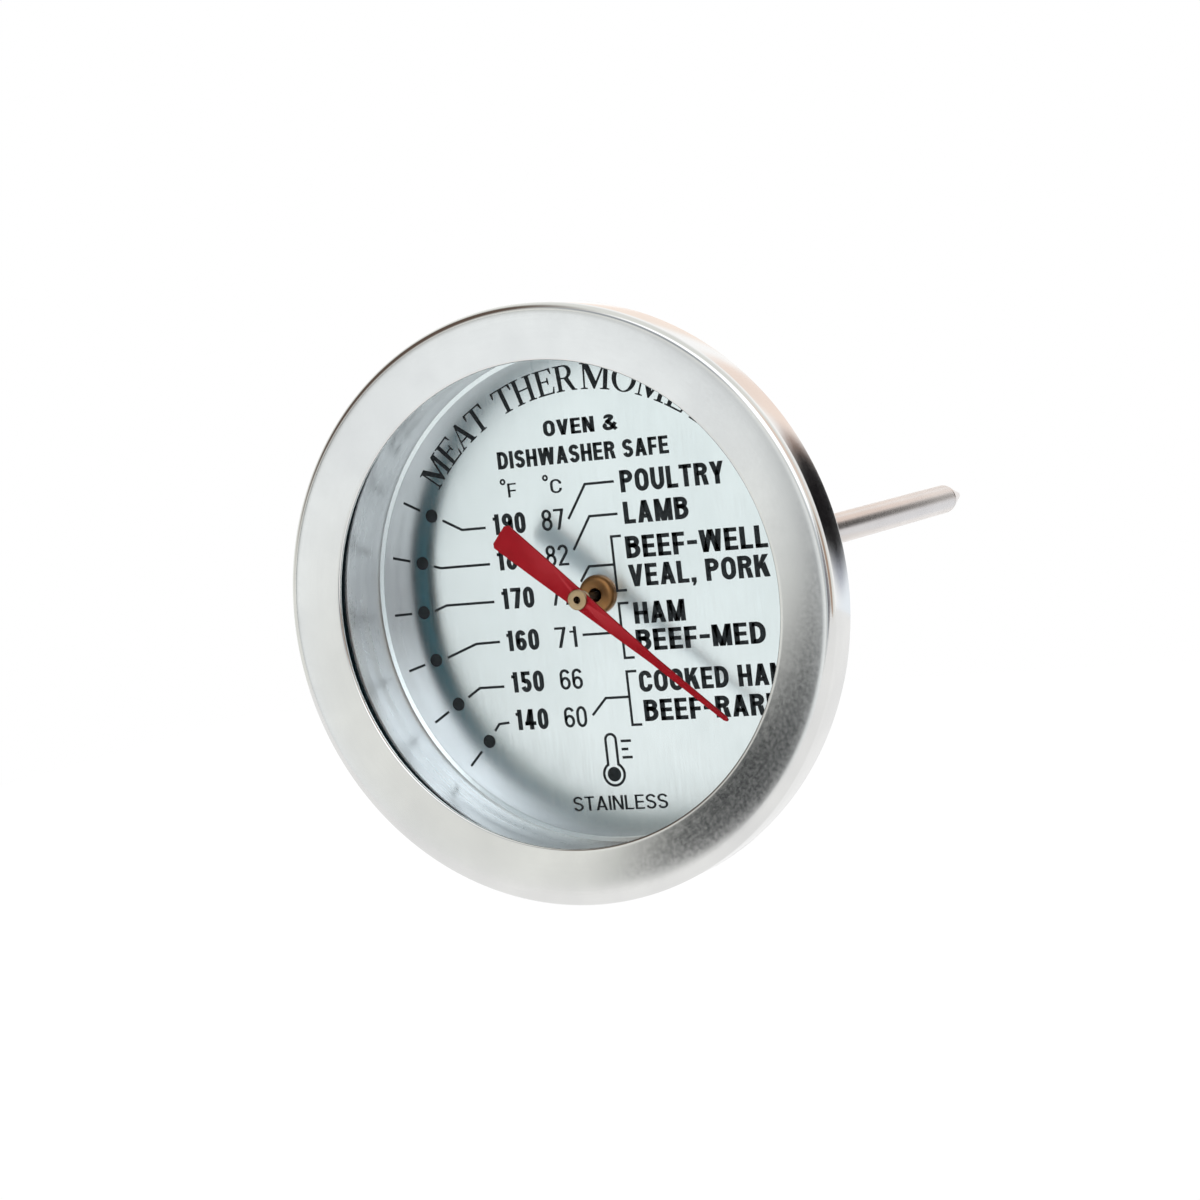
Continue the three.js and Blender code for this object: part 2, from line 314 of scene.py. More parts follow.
def black_rubber():
    """Black rubber, with a painted blue-green glow next to the glass that stands in for the colour of light
    through the glass's edge.
    """
    material, tree, shader = new_material("black_rubber")
    shader.inputs["Specular IOR Level"].default_value = 0.25
    grain = noise(tree, object_place(tree), 3000.0, 3.0, 0.6)
    dust = noise(tree, object_place(tree), 260.0, 3.0, 0.7)
    base = mix_colour(tree, remap(tree, dust, 0.0, 1.0), RUBBER_DARK, RUBBER_LIGHT)
    # Painted glow: the rubber in front of the glass's back face is blue-green, fading to black over the
    # last 0.3 mm before it.
    depth = add_node(tree, "ShaderNodeSeparateXYZ", {"Vector": object_place(tree)}).outputs["Y"]
    glass_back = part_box("lens_glass")[1].y
    glow_depth = 0.3 * MM
    behind = remap(tree, depth, 0.0, 1.0, glass_back - glow_depth, glass_back)
    tree.links.new(mix_colour(tree, behind, GLASS_EDGE_GLOW_PAINT, base), shader.inputs["Base Color"])
    tree.links.new(remap(tree, grain, 0.6, 0.8), shader.inputs["Roughness"])
    add_bump(tree, shader, grain, 0.02 * MM, 0.5)
    return material


def black_ink():
    material, tree, shader = new_material("black_ink")
    shader.inputs["Specular IOR Level"].default_value = 0.2
    grain = noise(tree, object_place(tree), 5000.0, 2.0)
    base = mix_colour(tree, remap(tree, grain, 0.0, 1.0), INK_DARK, INK_LIGHT)
    tree.links.new(base, shader.inputs["Base Color"])
    tree.links.new(remap(tree, grain, 0.45, 0.65), shader.inputs["Roughness"])
    add_bump(tree, shader, grain, 0.004 * MM, 0.3)
    return material


def bimetal():
    """Rolled strip: steel outside, a yellower alloy inside."""
    material, tree, shader = new_material("bimetal", Metallic=1.0)
    radius = axis_place(tree)[0]
    seam = 0.01 * MM
    outside = remap(tree, radius, 0.0, 1.0, HELIX_RADIUS - seam, HELIX_RADIUS + seam)
    grain = noise(tree, object_place(tree), 2600.0, 3.0, 0.6)
    base = mix_colour(tree, outside, STRIP_YELLOW, STRIP_STEEL)
    base = mix_colour(tree, remap(tree, grain, 0.0, 0.3), base, STRIP_STAIN)
    tree.links.new(base, shader.inputs["Base Color"])
    tree.links.new(remap(tree, grain, 0.25, 0.4), shader.inputs["Roughness"])
    add_bump(tree, shader, grain, 0.003 * MM, 0.4)
    return material


def clear_glass():
    """Thin clear glass: it mirrors a little by Fresnel, and lets the rest straight through."""
    material = bpy.data.materials.new("clear_glass")
    material.use_nodes = True
    tree = material.node_tree
    tree.nodes.clear()
    smudges = noise(tree, object_place(tree), 160.0, 4.0, 0.7)
    tint = mix_colour(tree, remap(tree, smudges, 0.0, 1.0), GLASS_CLEAR, GLASS_SMUDGED)
    clear = add_node(tree, "ShaderNodeBsdfTransparent", {"Color": tint})
    mirror_inputs = {"Color": (1, 1, 1, 1), "Roughness": remap(tree, smudges, 0.01, 0.06)}
    mirror = add_node(tree, "ShaderNodeBsdfGlossy", mirror_inputs)
    fresnel = add_node(tree, "ShaderNodeFresnel", {"IOR": GLASS_SHEEN_IOR})
    inputs = {0: fresnel.outputs[0], 1: clear.outputs[0], 2: mirror.outputs[0]}
    mixed = add_node(tree, "ShaderNodeMixShader", inputs)
    output = add_node(tree, "ShaderNodeOutputMaterial")
    tree.links.new(mixed.outputs[0], output.inputs["Surface"])
    return material


# Base colours: a material's patterns run from its light colour to its dark one.
STEEL_LIGHT, STEEL_DARK = (0.78, 0.78, 0.765), (0.68, 0.68, 0.675)
CASE_LIGHT, CASE_DARK = (0.68, 0.69, 0.71), (0.56, 0.57, 0.59)
STEM_LIGHT, STEM_DARK = (0.61, 0.555, 0.52), (0.56, 0.51, 0.48)
# The shaft wire's near-black colours are painted shade: they make the hub's eye and the bush's bore, where
# the wire shows, read dark.
WIRE_SHADE_LIGHT, WIRE_SHADE_DARK = (0.075, 0.06, 0.05), (0.035, 0.03, 0.025)
DIAL_LIGHT, DIAL_DARK = (0.91, 0.955, 0.965), (0.84, 0.89, 0.90)
BRASS_LIGHT, BRASS_DARK = (0.56, 0.42, 0.26), (0.42, 0.29, 0.16)
BUSH_LIGHT, BUSH_DARK = (0.42, 0.22, 0.09), (0.30, 0.145, 0.055)
# The third red is a painted highlight for the blade's convex edges.
RED_LIGHT, RED_DARK, RED_EDGE_HIGHLIGHT = (0.40, 0.008, 0.016), (0.32, 0.006, 0.012), (0.52, 0.04, 0.05)
BARE_BACK = (0.74, 0.80, 0.84)
GLASS_SHEEN_IOR = 1.07
# Blue-green painted on the seal as the glow of the glass's edge.
GLASS_EDGE_GLOW_PAINT = (0.09, 0.36, 0.46)
GLASS_CLEAR, GLASS_SMUDGED = (0.985, 0.992, 0.992), (0.972, 0.982, 0.982)
RUBBER_DARK, RUBBER_LIGHT = (0.002, 0.010, 0.014), (0.006, 0.02, 0.026)
INK_DARK, INK_LIGHT = (0.008, 0.010, 0.012), (0.028, 0.034, 0.038)
STRIP_YELLOW, STRIP_STEEL, STRIP_STAIN = (0.52, 0.42, 0.25), (0.50, 0.49, 0.47), (0.30, 0.27, 0.22)

COARSE = 0.2 * MM
SATIN = {"anisotropy": 0.4, "bump": 0.03, "smear": 0.15}
bezel_steel = turned_metal("bezel_steel", STEEL_LIGHT, STEEL_DARK, 0.11, **SATIN)
case_steel = turned_metal("case_steel", CASE_LIGHT, CASE_DARK, 0.3, COARSE, bump=0.8)
stem_steel = turned_metal("stem_steel", STEM_LIGHT, STEM_DARK, 0.25, COARSE, bump=0.06, smear=0.3)
# Near-black wire: painted shade in the holes it shows through.
wire_painted_shade = turned_metal("wire_painted_shade", WIRE_SHADE_LIGHT, WIRE_SHADE_DARK, 0.34, line_width=0.05 * MM)
brass = turned_metal("turned_brass", BRASS_LIGHT, BRASS_DARK, 0.3, line_width=0.07 * MM)
bush_brass = turned_metal("bush_brass", BUSH_LIGHT, BUSH_DARK, 0.38)
dial = dial_metal()
enamel = red_enamel()
rubber = black_rubber()
ink = black_ink()
strip_metal = bimetal()
glass = clear_glass()


# ---------------------------------------------------------------- case

def add_bezel():
    """A pressed ring: its face is dished towards the opening, and its skirt is crimped behind the case."""
    radius, front, back = span("bezel_ring")
    opening = 24.3 * MM
    dip = 0.5 * MM
    face = 4.9 * MM
    dish_power = 1.15
    crimp_inner = 27 * MM
    inside = radius - BEZEL_SHEET
    steps = 12
    dished = []
    for i in range(steps + 1):
        inwards = i / steps
        dished.append((opening + face * (1 - inwards), front + dip * inwards ** dish_power))
    lip = front + dip
    corners = [
        (opening, lip + BEZEL_SHEET, 0.22 * MM),
        (opening, lip, 0.22 * MM),
        *reversed(dished[:-1]),
        (radius, front, 0.75 * MM),
        (radius, back, 0.45 * MM),
        (crimp_inner, back, 0.2 * MM),
        (crimp_inner, back - BEZEL_SHEET, 0.1 * MM),
        (inside, back - BEZEL_SHEET),
        (inside, front + BEZEL_SHEET, 0.3 * MM),
        (opening + face, front + BEZEL_SHEET),
    ]
    piece = lathe("bezel_shell", corners, CASE_SIDES, steps=8)
    add_piece(piece, "housing", bezel_steel, "bezel_steel", "bezel_ring")


def add_glass_and_seal():
    radius, front, back = span("lens_glass")
    bevel = 0.3 * MM
    corners = [(0, front), (radius, front, bevel), (radius, back, bevel), (0, back)]
    add_piece(lathe("glass_disc", corners, CASE_SIDES), "housing", glass, "lens_glass", "lens_glass")

    outer, seal_front, seal_back = span("lens_gasket")
    inner = 25.5 * MM
    lip = 0.12 * MM
    seat = radius + 0.1 * MM
    corners = [
        (inner, seal_front, lip),
        (outer, seal_front, 0.4 * MM),
        (outer, seal_back, lip),
        (inner, seal_back, lip),
        (inner, back + SEATED, lip),
        (seat, back + SEATED),
        (seat, front - SEATED),
        (inner, front - SEATED, lip),
    ]
    add_piece(lathe("seal_channel", corners, CASE_SIDES), "housing", rubber, "seal_rubber", "lens_gasket")


def add_case():
    """The drawn cup: flange, wall, the step under the dial, and the recessed back."""
    flange, front, back = span("case_cup")
    wall = 25.6 * MM
    outer_wall = wall + CASE_SHEET
    rear = 22 * MM
    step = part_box("dial_plate")[1].y + SEATED
    recess = 0.6 * MM
    recess_radius = 5.6 * MM
    hole = 3 * MM
    wave = 0.06 * MM
    wave_length = 1.15 * MM
    first_wave = step - 2.2 * wave_length
    waves = []
    for i in range(4):
        waves.append((wall - wave * (i % 2), first_wave - i * wave_length, 6 * MM))
    corners = [
        (wall, front, 0.55 * MM),
        (flange, front, 0.1 * MM),
        (flange, front + BEZEL_SHEET, 0.1 * MM),
        (outer_wall, front + BEZEL_SHEET),
        (outer_wall, step + CASE_SHEET, 1.0 * MM),
        (rear, step + CASE_SHEET, 0.4 * MM),
        (rear, back, 2.5 * MM),
        (recess_radius + recess / 2, back, 0.3 * MM),
        (recess_radius, back - recess, 0.3 * MM),
        (hole, back - recess),
        (hole, back - recess - CASE_SHEET),
        (recess_radius + CASE_SHEET / 2, back - recess - CASE_SHEET, 0.3 * MM),
        (recess_radius + recess, back - CASE_SHEET, 0.3 * MM),
        (rear - CASE_SHEET, back - CASE_SHEET, 1.9 * MM),
        (rear - CASE_SHEET, step),
        (wall, step),
        *waves,
    ]
    piece = lathe("case_shell", corners, CASE_SIDES, steps=6)
    add_piece(piece, "housing", case_steel, "case_steel", "case_cup")


def add_dial():
    radius, _, back = span("dial_plate")
    hole = 1.45 * MM
    edge = 0.12 * MM
    rim = radius + 0.1 * MM
    rim_height = 0.17 * MM
    corners = [
        (hole, DIAL_FRONT),
        (rim - DIAL_RIM, DIAL_FRONT, 0.4 * MM),
        (rim, DIAL_FRONT - rim_height),
        (rim, back, edge),
        (hole, back),
    ]
    add_piece(lathe("dial_disc", corners, CASE_SIDES), "housing", dial, "dial_aluminium", "dial_plate")

    flange, bush_front, bush_back = span("dial_bush")
    bore = 0.7 * MM
    body = 1.4 * MM
    seat = DIAL_FRONT - SEATED
    corners = [
        (bore, bush_front, 0.05 * MM),
        (flange, bush_front, 0.55 * MM),
        (flange, seat, 0.05 * MM),
        (body, seat),
        (body, bush_back, 0.1 * MM),
        (bore, bush_back, 0.1 * MM),
    ]
    add_piece(lathe("bush_turned", corners, STEM_SIDES), "housing", bush_brass, "turned_brass", "dial_bush")


# ---------------------------------------------------------------- stem

def add_collar():
    flange, front, back = span("stem_collar")
    bore = 1.95 * MM
    spigot = 2.9 * MM
    shoulder = 2.7 * MM
    neck = 3.4 * MM
    flange_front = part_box("case_cup")[1].y + SEATED
    flange_back = flange_front + 1.0 * MM
    corners = [
        (bore, front),
        (spigot, front, 0.2 * MM),
        (spigot, flange_front),
        (flange, flange_front, 0.15 * MM),
        (flange, flange_back, 0.25 * MM),
        (neck, flange_back + 0.25 * MM, 0.5 * MM),
        (shoulder, back, 0.2 * MM),
        (bore, back, 0.1 * MM),
    ]
    piece = lathe("collar_turned", corners, STEM_SIDES * 2)
    add_piece(piece, "housing", stem_steel, "stem_steel", "stem_collar")

    radius, seal_front, seal_back = span("back_gasket")
    hole = 3 * MM
    bulge = 0.15 * MM
    corners = [
        (hole, seal_front),
        (radius, seal_front, bulge),
        (radius, seal_back, bulge),
        (hole, seal_back),
    ]
    add_piece(lathe("seal_washer", corners, STEM_SIDES), "housing", rubber, "seal_rubber", "back_gasket")


def add_nut():
    """A hexagon nut with its corners turned off at both faces."""
    low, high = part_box("collar_nut")
    across_corners = high.x
    flats = high.z
    bore = 3 * MM
    half = (high.y - low.y) / 2
    middle = (high.y + low.y) / 2
    sides = STEM_SIDES * 3
    bm = bmesh.new()
    rings = []
    chamfer = (across_corners - flats) * 0.6
    corner = half - chamfer * 0.6
    levels = [(-half, True), (-corner, False), (corner, False), (half, True)]
    for y, pulled_in in levels:
        ring = []
        for i in range(sides):
            angle = 2 * math.pi * i / sides
            turn = (angle + math.pi / 6) % (math.pi / 3) - math.pi / 6
            hexagon = flats / math.cos(math.pi / 6 - abs(turn))
            reach = min(hexagon, across_corners - chamfer) if pulled_in else hexagon
            ring.append(bm.verts.new((reach * math.cos(angle), middle + y, reach * math.sin(angle))))
        rings.append(ring)
    for y in (half, -half):
        rings.append([bm.verts.new((x, middle + y, z)) for x, z in circle(0, 0, bore, sides)])
    for k, ring in enumerate(rings):
        bridge(bm, ring, rings[(k + 1) % len(rings)])
    add_piece(finish_mesh("nut_hex", bm), "housing", stem_steel, "stem_steel", "collar_nut")


def add_tube_and_point():
    radius, front, back = span("stem_tube")
    bore = 1.6 * MM
    edge = 0.03 * MM
    corners = [(bore, front, edge), (radius, front, edge), (radius, back, edge), (bore, back, edge)]
    add_piece(lathe("probe_tube", corners, STEM_SIDES), "housing", stem_steel, "stem_steel", "stem_tube")

    _, plug_front, tip = span("stem_tip")
    seat = back + SEATED
    cone_start = tip - 6 * MM
    plug = bore - SEATED
    corners = [
        (0, plug_front),
        (plug, plug_front, 0.1 * MM),
        (plug, seat),
        (radius, seat, edge),
        (radius, cone_start, 2.5 * MM),
        (0.42 * MM, tip - 0.2 * MM, 0.3 * MM),
        (0, tip - 0.02 * MM),
    ]
    add_piece(lathe("probe_point", corners, STEM_SIDES), "housing", stem_steel, "stem_steel", "stem_tip")


def add_bored(name, node, body, bore, material, slot):
    """A plain bored piece with broken edges."""
    low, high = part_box(node)
    radius = max(high.x, high.z)
    edge = 0.1 * MM
    corners = [
        (bore, low.y, edge / 2),
        (radius, low.y, edge),
        (radius, high.y, edge),
        (bore, high.y, edge / 2),
    ]
    add_piece(lathe(name, corners, STEM_SIDES), body, material, slot, node)


def add_guides():
    bore = 0.47 * MM
    for place in ("upper", "middle", "lower"):
        name = f"{place}_guide_turned"
        add_bored(name, f"{place}_shaft_guide", "housing", bore, brass, "turned_brass")


def add_helix():
    """The strip as a smooth helix between the anchor and the shaft."""
    low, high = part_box("bimetal_helix")
    turns = 18
    steps = 40 * turns
    width = 1.6 * MM
    thickness = 0.2 * MM
    rise = high.y - low.y - width
    corner = 0.05 * MM
    half_t, half_w = thickness / 2, width / 2
    section = [(-half_t, -half_w + corner), (-half_t + corner, -half_w), (half_t - corner, -half_w)]
    section += [(half_t, -half_w + corner), (half_t, half_w - corner), (half_t - corner, half_w)]
    section += [(-half_t + corner, half_w), (-half_t, half_w - corner)]
    bm = bmesh.new()
    rings = []
    for step in range(steps + 1):
        angle = 2 * math.pi * turns * step / steps
        y = low.y + half_w + rise * step / steps
        ring = []
        for out, up in section:
            reach = HELIX_RADIUS + out
            ring.append(bm.verts.new((reach * math.cos(angle), y + up, reach * math.sin(angle))))
        rings.append(ring)
    for first, second in zip(rings, rings[1:]):
        bridge(bm, first, second)
    bm.faces.new(rings[0])
    bm.faces.new(rings[-1])
    piece = finish_mesh("helix_strip", bm)
    piece.data.materials.append(strip_metal)
    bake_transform(piece)
    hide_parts("bimetal_helix")

    flange, front, back = span("helix_anchor")
    spigot = 0.9 * MM
    flange_front = high.y + 0.1 * MM
    corners = [
        (0, front),
        (spigot, front, 0.1 * MM),
        (spigot, flange_front),
        (flange, flange_front, 0.05 * MM),
        (flange, back, 0.1 * MM),
        (0, back),
    ]
    add_piece(lathe("anchor_turned", corners, STEM_SIDES), "housing", brass, "turned_brass", "helix_anchor")


# ---------------------------------------------------------------- pointer

def add_blade():
    """The blade: stamped sheet with slightly rounded edges and a riveted hole. Its outline is in mm."""
    low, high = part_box("pointer_blade")
    thickness = high.y - low.y
    outline = [
        (-10.9, -1.1), (-10.55, -1.45), (-5, -1.213), (0, -0.95), (5, -0.675), (10, -0.4),
        (15, -0.315), (19.45, -0.24), (19.8, -0.1),
    ]
    outline += [(x, -z) for x, z in reversed(outline)]
    turn = Matrix.Rotation(-POINTER_DIRECTION, 3, "Y")
    bm = bmesh.new()
    front = [bm.verts.new(turn @ Vector((x * MM, low.y, z * MM))) for x, z in outline]
    hole_radius = 0.65 * MM
    hole_sides = 48
    rim = [Vector((x, low.y, z)) for x, z in circle(0, 0, hole_radius, hole_sides)]
    hole = [bm.verts.new(turn @ point) for point in rim]
    edges = []
    for loop in (front, hole):
        edges += [bm.edges.new((loop[i], loop[(i + 1) % len(loop)])) for i in range(len(loop))]
    bmesh.ops.triangle_fill(bm, use_beauty=True, edges=edges)
    faces = list(bm.faces)
    back = bmesh.ops.extrude_face_region(bm, geom=faces)
    moved = [item for item in back["geom"] if isinstance(item, bmesh.types.BMVert)]
    bmesh.ops.translate(bm, vec=(0, thickness, 0), verts=moved)
    bmesh.ops.recalc_face_normals(bm, faces=bm.faces)
    steep = math.radians(60)
    inner_edges = [edge for edge in bm.edges if len(edge.link_faces) == 2]
    rims = [edge for edge in inner_edges if edge.calc_face_angle() > steep]
    bmesh.ops.bevel(bm, geom=rims, offset=0.05 * MM, segments=3, affect="EDGES", profile=0.5)
    add_piece(finish_mesh("pointer_needle", bm), "pointer", enamel, "pointer_red", "pointer_blade")


def add_pointer_pieces():
    low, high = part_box("pointer_hub")
    blade_low, blade_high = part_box("pointer_blade")
    bore = 0.45 * MM
    eye = 0.36 * MM
    rivet = 1.05 * MM
    neck = 0.6 * MM
    boss = 0.8 * MM
    eye_back = low.y + 0.35 * MM
    corners = [
        (eye, low.y, 0.08 * MM),
        (rivet, low.y, 0.12 * MM),
        (rivet, blade_low.y - SEATED),
        (neck, blade_low.y - SEATED),
        (neck, blade_high.y + SEATED),
        (boss, blade_high.y + SEATED, 0.05 * MM),
        (boss, high.y, 0.1 * MM),
        (bore, high.y),
        (bore, eye_back),
        (eye, eye_back),
    ]
    add_piece(lathe("pointer_rivet", corners, STEM_SIDES), "pointer", brass, "turned_brass", "pointer_hub")

    shaft_low, shaft_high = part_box("pointer_shaft")
    shaft = 0.4 * MM
    edge = 0.05 * MM
    corners = [
        (0, shaft_low.y),
        (shaft, shaft_low.y, edge),
        (shaft, shaft_high.y, edge),
        (0, shaft_high.y),
    ]
    add_piece(lathe("shaft_wire", corners, 32), "pointer", wire_painted_shade, "stem_steel", "pointer_shaft")
    add_bored("drive_collar", "helix_collar", "pointer", bore, brass, "turned_brass")


# ---------------------------------------------------------------- print on the dial

INK_LIFT = 0.02 * MM
INK_THICKNESS = 0.012 * MM
FACE_FRONT = Matrix.Rotation(math.pi / 2, 4, "X")


def shape_mesh(loops):
    """A thin flat shape from closed loops of (x, y) points in mm; a loop inside another is a hole."""
    curve = bpy.data.curves.new("ink_shape", "CURVE")
    curve.dimensions = "2D"
    curve.fill_mode = "BOTH"
    curve.extrude = INK_THICKNESS / MM / 2
    for loop in loops:
        spline = curve.splines.new("POLY")
        spline.points.add(len(loop) - 1)
        for point, (x, y) in zip(spline.points, loop):
            point.co = (x, y, 0, 1)
        spline.use_cyclic_u = True
    holder = bpy.data.objects.new("ink_holder", curve)
    bpy.context.collection.objects.link(holder)
    graph = bpy.context.evaluated_depsgraph_get()
    mesh = bpy.data.meshes.new_from_object(holder.evaluated_get(graph))
    bpy.data.objects.remove(holder)
    return mesh


def ribbon(points, width):
    """The outline of a line of the given width through the points, with mitred bends."""
    path = []
    for point in points:
        if not path or (Vector(point) - path[-1]).length > 1e-6:
            path.append(Vector(point))
    sides = []
    for i, point in enumerate(path):
        before = (point - path[i - 1]).normalized() if i else None
        after = (path[i + 1] - point).normalized() if i < len(path) - 1 else None
        along = ((before or after) + (after or before)).normalized()
        across = Vector((-along.y, along.x))
        stretch = across.dot(Vector((-(after or before).y, (after or before).x)))
        sides.append((point, across * width / 2 / stretch))
    upper = [tuple(point + side) for point, side in sides]
    lower = [tuple(point - side) for point, side in reversed(sides)]
    return upper + lower


def circle(x, y, radius, sides=40):
    angles = [2 * math.pi * i / sides for i in range(sides)]
    return [(x + radius * math.cos(angle), y + radius * math.sin(angle)) for angle in angles]


def ellipse_arc(x, y, rx, ry, start, end, steps=14):
    """Points of an elliptical arc, with its angles in degrees."""
    points = []
    for i in range(steps + 1):
        angle = math.radians(start + (end - start) * i / steps)
        points.append((x + rx * math.cos(angle), y + ry * math.sin(angle)))
    return points


def box(x0, y0, x1, y1):
    return [[(x0, y0), (x1, y0), (x1, y1), (x0, y1)]]


def slant(bottom, top, wide, y0=0.0, y1=1.0):
    """A leaning stroke with level ends, from x = bottom at y0 to x = top at y1."""
    return [[(bottom, y0), (bottom + wide, y0), (top + wide, y1), (top, y1)]]


def oval(x0, y0, x1, y1, ry):
    """A closed outline with straight sides between half-round ends."""
    rx = (x1 - x0) / 2
    ry = min(ry, (y1 - y0) / 2)
    top = ellipse_arc(x0 + rx, y1 - ry, rx, ry, 0, 180)
    return top + ellipse_arc(x0 + rx, y0 + ry, rx, ry, 180, 360)


def ring(x0, y0, x1, y1, t):
    return [oval(x0, y0, x1, y1, 0.36), oval(x0 + t, y0 + t, x1 - t, y1 - t, 0.36 - t * 0.8)]


def bowl(x0, y0, x1, y1, t):
    """A stroke that runs from x0 round to the right and back to x0."""
    half = t / 2
    ry = min((y1 - y0) / 2 - half, 0.34)
    rx = min(ry, (x1 - x0) / 2)
    upper = ellipse_arc(x1 - half - rx, y1 - half - ry, rx, ry, 90, 0)
    lower = ellipse_arc(x1 - half - rx, y0 + half + ry, rx, ry, 0, -90)
    return [ribbon([(x0, y1 - half), *upper, *lower, (x0, y0 + half)], t)]


def sans_letters(t):
    """Condensed upright capitals and figures with strokes of width t: each one's width and its shapes."""
    half = t / 2
    a = t * 1.06
    thin = t * 0.88
    middle = 0.5 - thin / 2

    def stem(x):
        return box(x, 0, x + t, 1)

    def bar(wide, y):
        return box(0, y, wide, y + thin)

    def arc(width, y, ry, start, end):
        return ellipse_arc(width / 2, y, width / 2 - half, ry, start, end)

    def stroke(*points):
        return [ribbon(points, t)]

    def turned(width, shapes):
        return [[[(width - x, 1 - y) for x, y in loop] for loop in shape] for shape in shapes]

    upper_ry = (0.49 - half) / 2
    lower_ry = (0.51 - half) / 2
    six = [
        ring(0, 0, 0.52, 0.62, t),
        stroke((half, 0.31), *arc(0.52, 0.99 - half - 0.22, 0.22, 180, 18)),
    ]
    return {
        "A": (0.66, [
            slant(0, 0.33 - a / 2, a), slant(0.66 - a, 0.33 - a / 2, a), box(0.14, 0.2, 0.52, 0.2 + thin),
        ]),
        "B": (0.60, [stem(0), bowl(half, 0.47, 0.58, 1, t), bowl(half, 0, 0.60, 0.47 + t, t)]),
        "C": (0.60, [
            stroke(*arc(0.6, 0.67, 0.33 - half, -5, 180), *arc(0.6, 0.33, 0.33 - half, 180, 365)),
        ]),
        "D": (0.61, [stem(0), bowl(half, 0, 0.61, 1, t)]),
        "E": (0.53, [stem(0), bar(0.53, 0), bar(0.49, middle), bar(0.52, 1 - thin)]),
        "F": (0.50, [stem(0), bar(0.46, middle - 0.03), bar(0.50, 1 - thin)]),
        "H": (0.61, [stem(0), stem(0.61 - t), bar(0.61, middle)]),
        "I": (t, [stem(0)]),
        "K": (0.64, [
            stem(0),
            [[(t * 0.9, 0.30), (0.63, 1), (0.63 - 1.2 * a, 1), (t * 0.9, 0.30 + 1.35 * a)]],
            [[(0.64 - 1.1 * a, 0), (0.64, 0), (0.24 + a, 0.68), (0.18 + a * 0.3, 0.46)]],
        ]),
        "L": (0.50, [stem(0), bar(0.50, 0)]),
        "M": (0.76, [stem(0), stem(0.76 - t), slant(0.38 - a / 2, 0, a), slant(0.38 - a / 2, 0.76 - a, a)]),
        "N": (0.61, [stem(0), stem(0.61 - t), slant(0.61 - a, 0, a)]),
        "O": (0.62, [ring(0, -0.01, 0.62, 1.01, t)]),
        "P": (0.58, [stem(0), bowl(half, 0.42, 0.58, 1, t)]),
        "R": (0.60, [stem(0), bowl(half, 0.44, 0.59, 1, t), slant(0.61 - a, 0.40 - half, a, 0, 0.46)]),
        "S": (0.58, [
            stroke(*arc(0.58, 1.01 - half - upper_ry, upper_ry, 12, 270),
                   *arc(0.58, half - 0.01 + lower_ry, lower_ry, 90, -168)),
        ]),
        "T": (0.56, [stem(0.28 - half), bar(0.56, 1 - thin)]),
        "U": (0.61, [stroke((half, 1), *arc(0.61, half + 0.28, 0.29, 180, 360), (0.61 - half, 1))]),
        "V": (0.64, [slant(0.32 - a / 2, 0, a), slant(0.32 - a / 2, 0.64 - a, a)]),
        "W": (0.92, [
            slant(0.22 - half, 0, a), slant(0.22 - half, 0.46 - half, a),
            slant(0.70 - half, 0.46 - half, a), slant(0.70 - half, 0.92 - a, a),
        ]),
        "Y": (0.62, [
            box(0.31 - half, 0, 0.31 + half, 0.45),
            slant(0.31 - a / 2, 0, a, 0.4), slant(0.31 - a / 2, 0.62 - a, a, 0.4),
        ]),
        "&": (0.72, [
            stroke((0.70, 0.02), (0.22, 0.66)),
            stroke(*ellipse_arc(0.35, 0.80, 0.15, 0.20 - half, 200, -35), (0.20, 0.44)),
            stroke(*ellipse_arc(0.31, 0.26, 0.31 - half, 0.27 - half, 125, 325), (0.68, 0.46)),
        ]),
        ",": (t, [box(0, 0, t, t), [[(t * 0.4, 0.02), (t, 0.02), (t * 0.6, -0.15), (t * 0.1, -0.15)]]]),
        "–": (0.40, [bar(0.40, 0.40)]),
        " ": (0.24, []),
        "0": (0.52, [ring(0, -0.01, 0.52, 1.01, t)]),
        "1": (0.40, [stem(0.36 - t), box(0.06, 0.70, 0.34 - t / 2, 0.70 + thin * 0.8)]),
        "2": (0.52, [stroke(*arc(0.52, 0.72, 0.29 - half, 172, -32), (half + 0.02, thin)), bar(0.52, 0)]),
        "4": (0.55, [stem(0.43 - t), bar(0.55, 0.21), slant(0, 0.43 - a, a, 0.21)]),
        "5": (0.52, [
            box(0.05, 1 - thin, 0.48, 1), box(0.05, 0.47, 0.05 + thin, 1),
            stroke(*arc(0.52, 0.32, 0.33 - half, 140, -165)),
        ]),
        "6": (0.52, six),
        "7": (0.50, [bar(0.50, 1 - thin), slant(0.12, 0.50 - a, a, 0, 1 - half)]),
        "8": (0.52, [ring(0.02, 0.47, 0.50, 1.01, t), ring(0, -0.01, 0.52, 0.47 + t, t)]),
        "9": (0.52, turned(0.52, six)),
    }


BOLD, LIGHT = 0.21, 0.13
SANS = {BOLD: sans_letters(BOLD), LIGHT: sans_letters(LIGHT)}
LETTER_GAP = 0.10


def text_line(body, left, right, baseline, cap_height, weight):
    """A line of letters, fitted between left and right."""
    letters = [SANS[weight][letter] for letter in body]
    length = sum(width for width, _ in letters) + LETTER_GAP * (len(letters) - 1)
    wide = (right - left) / length
    meshes = []
    place = 0.0
    for width, shapes in letters:
        for loops in shapes:
            placed = []
            for loop in loops:
                placed.append([(left + (place + x) * wide, baseline + y * cap_height) for x, y in loop])
            meshes.append(shape_mesh(placed))
        place += width + LETTER_GAP
    return meshes


